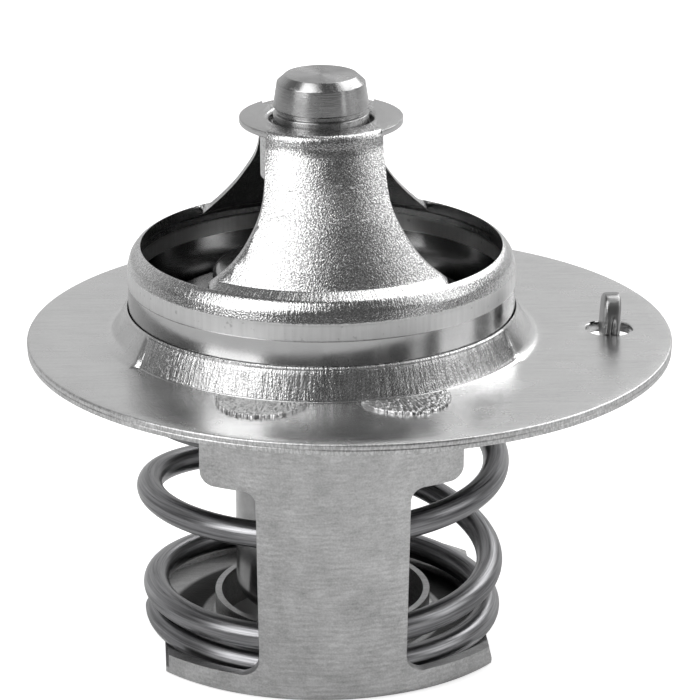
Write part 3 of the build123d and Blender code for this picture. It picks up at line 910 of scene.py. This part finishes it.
# %% Flange steel
flange_steel, tree = new_material("cold_rolled_steel_pressed")
place, spoke, radius, height = about(tree, valve_x)
rim_spoke, rim_distance = about(tree, 0)[1:3]
sideways = add(tree, "ShaderNodeSeparateXYZ", {"Vector": spoke}).outputs["Y"]
towards_middle = fade(tree, calc(tree, "ABSOLUTE", sideways), 0.455, 0.475)
struck = calc(tree, "MULTIPLY", fade(tree, radius, 14.4, 14.25), fade(tree, height, 0.78, 0.86))
struck = calc(tree, "MULTIPLY", struck, towards_middle)
rim = fade(tree, rim_distance, rim_radius - 0.14, rim_radius - 0.06)
clouds = fade(tree, speckle(tree, place, 3.2, 5.0), 0.36, 0.64)
rolling = speckle(tree, stretched(tree, place, (0.05, 1, 1)), 0.16, 3.0)
scores = speckle(tree, streaks(tree, spoke, height, 14, 0.14), 0.17, 3.0)
# The sheet's real grain is about 0.05 mm. It is drawn at 0.1 mm, which is the finest that shows.
relief = total(tree, ((speckle(tree, place, 0.11), 0.006), (rolling, 0.006),
                      (speckle(tree, place, 3.5), 0.010),
                      (calc(tree, "MULTIPLY", struck, scores), 0.045),
                      (calc(tree, "MULTIPLY", struck, speckle(tree, place, 0.12)), 0.030),
                      (calc(tree, "MULTIPLY", rim,
                            speckle(tree, streaks(tree, rim_spoke, height, 22, 0.1), 0.14)), 0.02)))
rough = total(tree, ((clouds, 0.06), (rim, 0.12), (struck, 0.0), (0.22, 1.0)))
grains = calc(tree, "MULTIPLY", struck, fade(tree, speckle(tree, place, 0.1, 3.0), 0.42, 0.60, 1.0, 0.0))
rim_streaks = speckle(tree, streaks(tree, rim_spoke, height, 22, 0.5), 0.14, 3.0)
sheared = calc(tree, "MULTIPLY", rim, fade(tree, rim_streaks, 0.40, 0.62, 1.0, 0.0))
dull = calc(tree, "MULTIPLY", struck, fade(tree, scores, 0.40, 0.60, 1.0, 0.0))
shade = total(tree, ((speckle(tree, place, 2.5, 4.0), 0.2), (grains, -0.3), (dull, -0.25), (sheared, -0.35),
                     (speckle(tree, place, 0.12), 0.3), (rolling, 0.3), (0.55, 1.0)))
metal(tree, tones(tree, shade, "#6A6A6A", "#D6D6D6"), rough, relief)

# %% [markdown]
# ### Bridge
# The bridge shows four finishes one above the other. Below a fine step the ring was drawn through a
# polished die and mirrors the flange, and its grey is painted darker there as painted shade for its
# darker reflections. Above it is a satin band with upright streaks and small stains. The bead has
# short upright ticks from the press, and the legs keep the sheet's open grain, drawn in the tone too,
# with scratches across their two bends.

# %% Bridge steel
bridge_steel, tree = new_material("drawn_steel_bridge")
place, spoke, radius, height = about(tree, valve_x)
polished_and_painted_shade = fade(tree, height, step_height + 0.02, step_height - 0.04)
upper = fade(tree, height, bead_foot, 5.8)
leg = fade(tree, height, bead_top, 7.5)
bead = calc(tree, "SUBTRACT", upper, leg)
band = calc(tree, "SUBTRACT", calc(tree, "SUBTRACT", 1.0, upper), polished_and_painted_shade)
grain, coarse = speckle(tree, place, 0.11), speckle(tree, place, 0.3)
ticks = speckle(tree, streaks(tree, spoke, height, 13, 0.25), 0.17, 3.0)
upright = speckle(tree, streaks(tree, spoke, height, 13, 0.08), 0.25, 4.0)
scratches = fade(tree, speckle(tree, streaks(tree, spoke, height, 0.6, 1.0), 0.05, 1.0), 0.63, 0.7)
bent = total(tree, [(fade(tree, calc(tree, "ABSOLUTE", calc(tree, "SUBTRACT", height, bend)), 0.35, 0.1),
                     1.0) for bend in (brim_top - 3.2, brim_top - 4.7)])
stains = fade(tree, speckle(tree, place, 0.35, 3.0), 0.64, 0.74)
scratched = calc(tree, "MULTIPLY", calc(tree, "MULTIPLY", leg, scratches), bent)
relief = total(tree, ((calc(tree, "MULTIPLY", leg, grain), 0.030),
                      (calc(tree, "MULTIPLY", leg, coarse), 0.006), (scratched, -0.03),
                      (calc(tree, "MULTIPLY", bead, ticks), 0.030),
                      (calc(tree, "MULTIPLY", bead, grain), 0.020),
                      (calc(tree, "MULTIPLY", band, upright), 0.010),
                      (upright, 0.0008)))
rough = total(tree, ((polished_and_painted_shade, 0.11), (band, 0.33), (bead, 0.16), (leg, 0.22),
                     (fade(tree, speckle(tree, place, 1.5, 4.0), 0.35, 0.65), 0.04)))
sideways = add(tree, "ShaderNodeSeparateXYZ", {"Vector": place}).outputs["X"]
brim = calc(tree, "MULTIPLY", fade(tree, height, brim_top - 0.75, brim_top - 0.6),
            fade(tree, calc(tree, "ABSOLUTE", sideways), leg_edge[0][0] - 0.5, leg_edge[0][0]))
grains = fade(tree, speckle(tree, place, 0.1, 3.0), 0.42, 0.60, 1.0, 0.0)
# Painted shade: the polished ring's grey is pulled 0.42 darker, standing in for darker reflections.
shade = total(tree, ((calc(tree, "MULTIPLY", band, stains), -0.3), (brim, -0.4), (polished_and_painted_shade, -0.42),
                     (calc(tree, "MULTIPLY", band, upright), -0.3), (scratched, 0.7),
                     (calc(tree, "MULTIPLY", calc(tree, "SUBTRACT", leg, brim), grains), -0.65),
                     (calc(tree, "MULTIPLY", bead, grains), -0.45), (1.0, 1.0)))
metal(tree, tones(tree, shade, "#686868", "#DCDCDC"), rough, relief)

# %% [markdown]
# ### Stirrup
# The stirrup was tumbled, so it is matt, with a soft grain, fine lines across, wavy marks from the
# press and clouds. The marks are bands bent by noise, and they show in patches only. A matt surface
# in even light hardly shows a relief, so the grain is drawn in its colour too. The floor inside the
# pan is painted dark, a painted shade for the shadow that falls there.

# %% Stirrup steel
stirrup_steel, tree = new_material("tumbled_steel_stirrup")
place, spoke, radius, height = about(tree, valve_x)
waves = add(tree, "ShaderNodeTexWave", {"Vector": stretched(tree, place, (0.35, 1, 1)), "Scale": 0.75,
                                        "Distortion": 5.0, "Detail": 2.0, "Detail Scale": 1.2},
            bands_direction="Z").outputs[0]
patches = fade(tree, speckle(tree, place, 3.5, 2.0), 0.42, 0.6)
marks = calc(tree, "MULTIPLY", waves, patches)
fine, clouds = speckle(tree, place, 0.13), speckle(tree, place, 1.6, 6.0)
lines = speckle(tree, stretched(tree, place, (0.14, 1, 1)), 0.16, 3.0)
relief = total(tree, ((fine, 0.014), (marks, 0.004), (lines, 0.012)))
rough = total(tree, ((fade(tree, clouds, 0.35, 0.65), 0.08), (0.33, 1.0)))
shade = total(tree, ((lines, 0.7), (fine, 0.7), (clouds, 0.8), (marks, 0.14), (-0.62, 1.0)))
# Painted shade: the floor inside the pan is mixed to dark grey #303030, for the shadow that falls there.
pan_painted_shade = calc(tree, "MULTIPLY", fade(tree, radius, 8.3, 8.6), fade(tree, radius, 11.0, 10.5))
pan_painted_shade = calc(tree, "MULTIPLY", pan_painted_shade, fade(tree, height, base_height + 1.7, base_height + 1.2))
pan_painted_shade = calc(tree, "MULTIPLY", pan_painted_shade, fade(tree, height, base_height + 0.2, base_height + 0.5))
stirrup_colour_with_painted_shade = add(tree, "ShaderNodeMix", {"Factor": pan_painted_shade, "A": tones(tree, shade, "#969696", "#DEDEDE"),
                                      "B": linear("#303030")}, data_type="RGBA").outputs["Result"]
metal(tree, stirrup_colour_with_painted_shade, rough, relief)

# %% [markdown]
# ### Turned steel
# A turning tool leaves fine rings, so the noise is read by radius and height with hardly any turn in
# it. The plug keeps the tool's rings, the drawn cup of the element is smoother, the piston is ground
# nearly to a mirror, and the pressed pin is the dullest. The real rings are some 0.05 mm apart and
# are drawn at 0.09 mm, so that they show.

# %% Turned steel
def turned_finish(name, dark, light, roughness, depth):
    """Steel turned about the valve's axis, with rings of a depth in millimetres."""
    material, tree = new_material(name)
    place, spoke, radius, height = about(tree, valve_x)
    along = calc(tree, "ADD", radius, calc(tree, "MULTIPLY", height, 1.07))
    rings = speckle(tree, streaks(tree, spoke, along, 0.25, 1.0), 0.09, 3.0)
    rough = total(tree, ((speckle(tree, place, 0.8, 4.0), 0.12), (roughness - 0.06, 1.0)))
    across = add(tree, "ShaderNodeVectorMath", {0: spoke, 1: (0, 0, 1)}, operation="ADD").outputs[0]
    metal(tree, tones(tree, speckle(tree, place, 1.2, 4.0), dark, light), rough,
          total(tree, ((rings, depth), (speckle(tree, place, 0.1), 0.0012))), across)
    return material


turned_steel = turned_finish("turned_steel_plug", "#949494", "#BCBCBC", 0.26, 0.012)
drawn_steel = turned_finish("drawn_steel_element", "#808080", "#B0B0B0", 0.20, 0.002)
ground_steel = turned_finish("ground_steel_piston", "#B0B0B0", "#C8C8C8", 0.12, 0.0005)
pin_steel = turned_finish("pressed_steel_pin", "#8C8C8C", "#A8A8A8", 0.30, 0.001)

# %% [markdown]
# ### Spring wire
# The wire was pulled through a die that scored it lengthwise, and tempering in oil left it dark. Its
# grid's own UV map says how far along and how far round the wire a place is, and it moves with the
# wire when the spring is squeezed. The noise is read on a straight wire of the same thickness, ten
# millimetres long, which stretches it into lines.

# %% Spring wire
wire_pattern_length = 10
wire_steel, tree = new_material("oil_tempered_wire")
skin = add(tree, "ShaderNodeSeparateXYZ", {"Vector": add(tree, "ShaderNodeTexCoord").outputs["UV"]})
turn = calc(tree, "MULTIPLY", skin.outputs["Y"], math.tau)
wire_place = add(tree, "ShaderNodeCombineXYZ", {
    "X": calc(tree, "MULTIPLY", calc(tree, "COSINE", turn), wire_radius),
    "Y": calc(tree, "MULTIPLY", calc(tree, "SINE", turn), wire_radius),
    "Z": calc(tree, "MULTIPLY", skin.outputs["X"], wire_pattern_length)}).outputs[0]
die_lines, bands = speckle(tree, wire_place, 0.14, 3.0), speckle(tree, wire_place, 0.5, 3.0)
shade = total(tree, ((bands, 1.6), (die_lines, 1.6), (-1.1, 1.0)))
metal(tree, tones(tree, shade, "#565658", "#A8A8AA"),
      total(tree, ((die_lines, 0.12), (0.24, 1.0))), total(tree, ((die_lines, 0.012), (bands, 0.006))))

# %% [markdown]
# ### Rubber
# The seals and the boot are moulded nitrile rubber, black from its carbon filler and matt from the
# mould. Nothing of it shows from outside but an edge, so one plain shader is enough.

# %% Rubber
black_rubber, tree = new_material("moulded_black_rubber")
rubber_shader = add(tree, "ShaderNodeBsdfPrincipled", {"Base Color": linear("#1C1C1C"), "Roughness": 0.6})
add(tree, "ShaderNodeOutputMaterial", {"Surface": rubber_shader.outputs[0]})
print("rubber:", len(tree.nodes), "nodes")

# %% [markdown]
# ## Dressing
# Each new piece gets its steel. Some CAD solids are smooth turned or moulded pieces that need no new
# mesh, such as the piston, the case, the disc and the seals: they only get a finish.

# %% Dressing
def dress(piece, material):
    """Gives a piece one material."""
    piece.data.materials.clear()
    piece.data.materials.append(material)


for material, pieces in ((flange_steel, [flange]), (bridge_steel, [bridge, *brims]),
                         (stirrup_steel, [stirrup, *stakes]), (turned_steel, [plug]),
                         (wire_steel, [spring]), (pin_steel, [pin_head, pin_weight])):
    for piece in pieces:
        dress(piece, material)
for material, nodes in ((ground_steel, ["piston"]),
                        (black_rubber, ["guide_seal", "valve_seal", "rubber_boot"]),
                        (drawn_steel, ["valve_disc", "element_case", "element_guide", "disc_ring"])):
    for node in nodes:
        dress(frame["nodes"][node], material)

# %% [markdown]
# ## Bodies
# Each new piece rides the body of the CAD node that it stands for and replaces that node. The pin
# rides its own body, because it can lift. The spring is given a mesh of its own.

# %% Bodies
for body, node, slot, pieces in (("frame", "flange", "flange_sheet", [flange]),
                                 ("frame", "upper_frame", "bridge_sheet", [bridge, *brims]),
                                 ("frame", "lower_frame", "stirrup_sheet", [stirrup, *stakes]),
                                 ("frame", "piston_plug", "turned_steel", [plug]),
                                 ("frame", "main_spring", "spring_wire", [spring]),
                                 ("jiggle_pin", "jiggle_pin", "pin_metal", [pin_head, pin_weight])):
    for piece in pieces:
        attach(piece, body)
        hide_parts(node)
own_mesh(spring)

# %% [markdown]
# ## Studio
# The floor is pale matt paint that the lamps light, so it keeps the object's shadow, and a glow for
# the camera lifts it to the photograph's white. The glow fades in with the distance, where the lamps
# no longer reach, and reflections see a little of it. Under the object there is no glow, so the
# stirrup's hole stays dark. From below the floor can be looked through.

# %% Floor
nothing_selected()
bpy.ops.mesh.primitive_plane_add(size=3, location=(0, 0, base_height * MM))
floor = named("floor")
floor_material, tree = new_material("pale_floor")
path = add(tree, "ShaderNodeLightPath")
from_object = about(tree, valve_x)[2]
white_level = fade(tree, from_object, 60, 300, 0.75, 1.0)
shown = total(tree, ((path.outputs["Is Camera Ray"], white_level), (path.outputs["Is Glossy Ray"], 0.12),
                     (path.outputs["Is Transmission Ray"], white_level)))
outside_object = fade(tree, from_object, 7.2, 7.6)
paint = add(tree, "ShaderNodeBsdfDiffuse", {"Color": linear("#D0D0D0")})
glow = add(tree, "ShaderNodeEmission", {"Color": (1, 1, 1, 1),
                                        "Strength": calc(tree, "MULTIPLY", shown, outside_object)})
both = add(tree, "ShaderNodeAddShader", {0: paint.outputs[0], 1: glow.outputs[0]})
underside = add(tree, "ShaderNodeNewGeometry").outputs["Backfacing"]
clear = add(tree, "ShaderNodeBsdfTransparent")
one_way = add(tree, "ShaderNodeMixShader", {"Fac": underside, 1: both.outputs[0], 2: clear.outputs[0]})
add(tree, "ShaderNodeOutputMaterial", {"Surface": one_way.outputs[0]})
dress(floor, floor_material)
print("floor at", round(base_height, 2), "mm")

# %% [markdown]
# ### World
# The room is even and dim for the steel, lighter towards the back and near the horizon, and white
# for the camera and for anything clear that the camera looks through.

# %% World
world = bpy.data.worlds.new("studio")
bpy.context.scene.world = world
world.use_nodes = True
tree = world.node_tree
tree.nodes.clear()
split = add(tree, "ShaderNodeSeparateXYZ", {"Vector": add(tree, "ShaderNodeTexCoord").outputs["Generated"]})
back = calc(tree, "MULTIPLY", fade(tree, split.outputs["Y"], 0.0, 0.9),
            fade(tree, split.outputs["Z"], 0.9, 0.4))
room = calc(tree, "ADD", calc(tree, "MULTIPLY", back, 0.58), 0.13)
path = add(tree, "ShaderNodeLightPath")
level = calc(tree, "MAXIMUM", room, path.outputs["Is Camera Ray"])
level = calc(tree, "MAXIMUM", level, path.outputs["Is Transmission Ray"])
sky = add(tree, "ShaderNodeBackground", {"Color": (1, 1, 1, 1), "Strength": level})
add(tree, "ShaderNodeOutputWorld", {"Surface": sky.outputs[0]})
print("world:", len(tree.nodes), "nodes")

# %% [markdown]
# ### Lamps
# Four soft boxes stand where the photograph's highlights point to. A tall one in front on the left
# whitens the left half of the leg and the hammered collar. One behind on the right lights the bead's
# top and the plug, one on the right side its shoulder, and a narrow one low in front on the right
# draws a thin line along the wire. Steel mirrors a lamp, so what counts is how bright the lamp's
# face is, and its power is worked out from that and its size.

# %% Lights
def softbox(name, direction, distance, size, radiance):
    """A rectangular lamp in a direction from the object, as bright over its face as radiance."""
    place = Vector(direction).normalized() * distance
    nothing_selected()
    bpy.ops.object.light_add(type="AREA", location=place)
    light = bpy.context.active_object
    light.name = name
    light.data.shape = "RECTANGLE"
    light.data.size, light.data.size_y = size
    light.data.energy = radiance * size[0] * size[1] * math.pi
    light.rotation_euler = (-place).to_track_quat("-Z", "Y").to_euler()
    print(f"lamp {name}: {light.data.energy:.2f} W")


lamp_distance = 0.45
softbox("front_left", (-0.60, -0.40, 0.69), lamp_distance, (0.30, 0.56), 3.3)
softbox("back_right", (0.48, 0.50, 0.72), lamp_distance, (0.32, 0.36), 3.2)
softbox("right_side", (0.84, -0.10, 0.56), lamp_distance, (0.22, 0.38), 1.7)
softbox("front_right", (0.80, -0.58, 0.12), lamp_distance, (0.07, 0.22), 1.2)

# %% [markdown]
# ### Camera
# The camera stands where a fit to the ellipses of the flange, the collar and the brim puts it: 19
# degrees above the horizon and a little to the left. Its focal length is given in pixels of the
# photograph and turned to millimetres of sensor.

# %% Camera
photo_width = 700
focal_pixels = 3556
camera_data = bpy.data.cameras.new("camera")
camera = bpy.data.objects.new("camera", camera_data)
bpy.context.scene.collection.objects.link(camera)
camera_data.sensor_width = 36
camera_data.lens = focal_pixels / photo_width * camera_data.sensor_width
camera.location = Vector((-14.41, -229.55, 79.73)) * MM
camera.rotation_euler = (math.radians(90 - 19.26), 0, math.radians(-3.6))
bpy.context.scene.camera = camera
bpy.context.scene.view_settings.view_transform = "Standard"
print(f"lens {camera_data.lens:.1f} mm")
